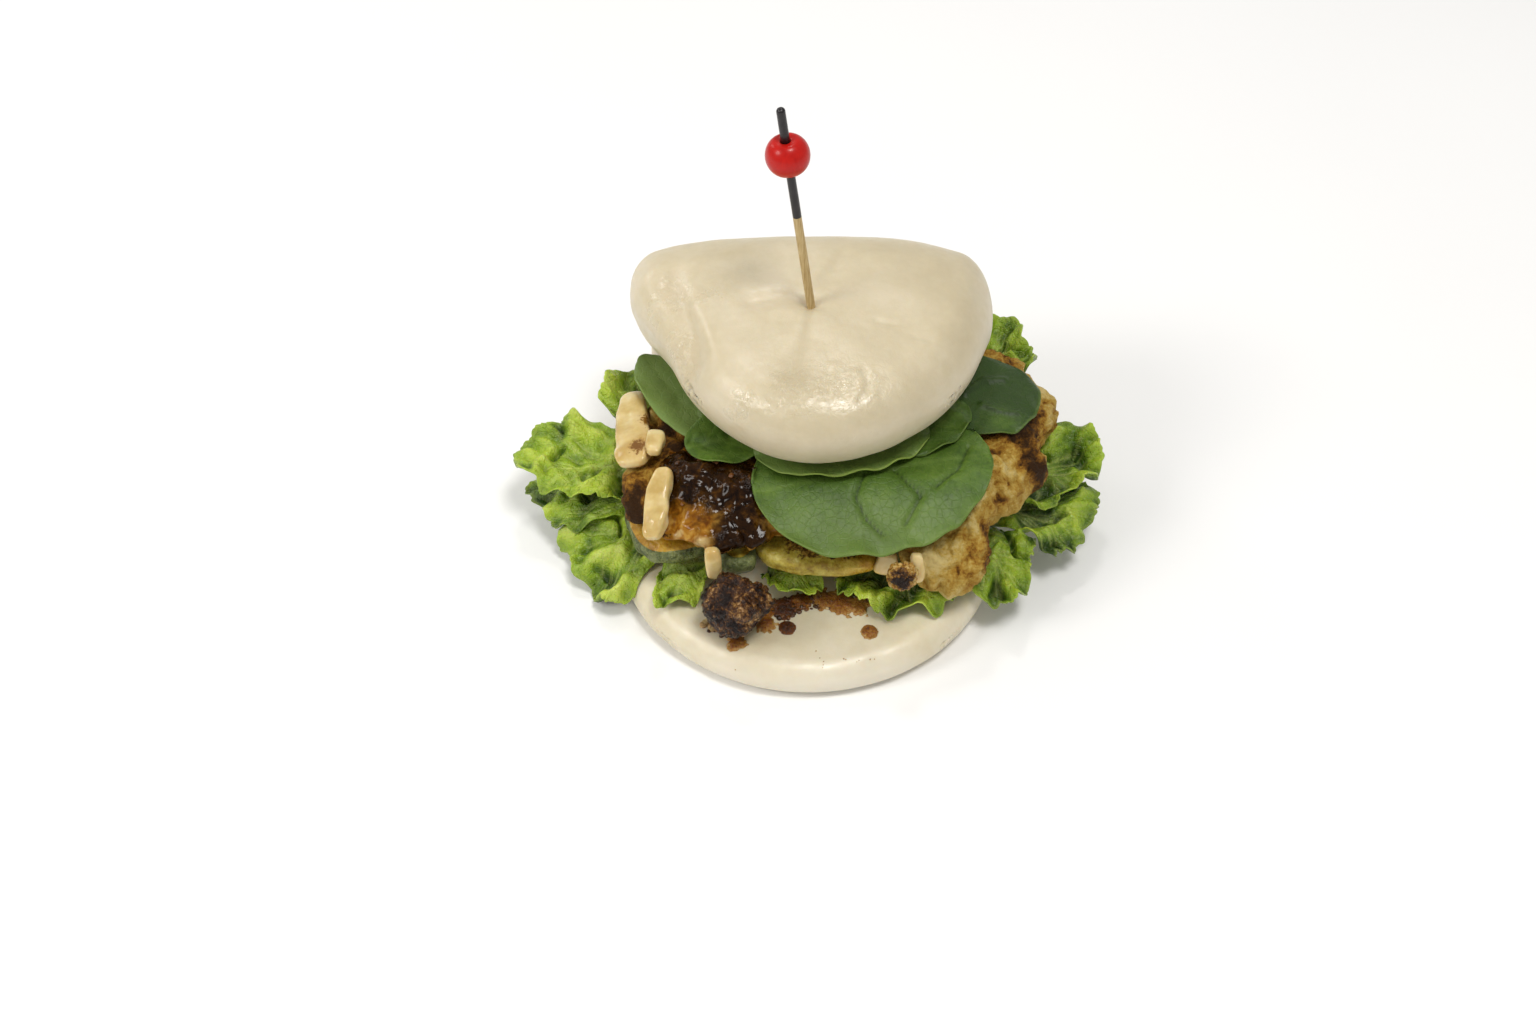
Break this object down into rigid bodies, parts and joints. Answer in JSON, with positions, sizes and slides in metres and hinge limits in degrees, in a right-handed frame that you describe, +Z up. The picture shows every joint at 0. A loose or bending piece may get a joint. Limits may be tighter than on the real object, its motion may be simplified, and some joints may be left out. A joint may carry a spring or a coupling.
{
  "type": "filled folded steamed bun",
  "caption": "Folded steamed bun filled with frilled lettuce, a browned vegetable fritter with dark glaze, squash slices, pale strips and spinach, with a bead-topped bamboo pick.",
  "frame": {"origin": "middle of the bun's flat base, on the surface it rests on", "axes": "+X to the right seen from the bun's open front, +Y towards the folded back, +Z up"},
  "size_m": [0.1666, 0.118, 0.138],
  "materials": {
    "dough": "satin",
    "fried_crust": "matte",
    "lettuce": "satin",
    "spinach": "satin",
    "squash": "satin",
    "onion": "satin",
    "sauced_crust": "gloss",
    "bamboo": "matte",
    "red_lacquer": "gloss"
  },
  "bodies": {
    "root": {"bun": "dough", "fritter": "fried_crust", "lettuce_front": "lettuce", "lettuce_front_left": "lettuce", "lettuce_front_middle": "lettuce", "lettuce_left_back": "lettuce", "lettuce_left_front": "lettuce", "lettuce_left_under": "lettuce", "lettuce_left_upper": "lettuce", "lettuce_right_back": "lettuce", "lettuce_right_front": "lettuce", "lettuce_right_under": "lettuce", "lettuce_right_upper": "lettuce", "onion_strip_edge": "onion", "onion_strip_front": "onion", "onion_strip_front_right": "onion", "onion_strip_hanging": "onion", "onion_strip_long": "onion", "onion_strip_small": "onion", "pick_bead": "red_lacquer", "pick_stick": "bamboo", "sauced_chunk": "sauced_crust", "sauced_nugget": "sauced_crust", "spinach_front": "spinach", "spinach_left": "spinach", "spinach_left_inner": "spinach", "spinach_lid_edge": "spinach", "spinach_right": "spinach", "spinach_right_inner": "spinach", "squash_slice_front": "squash", "squash_slice_left": "squash", "squash_slice_middle": "squash"}
  },
  "joints": []
}
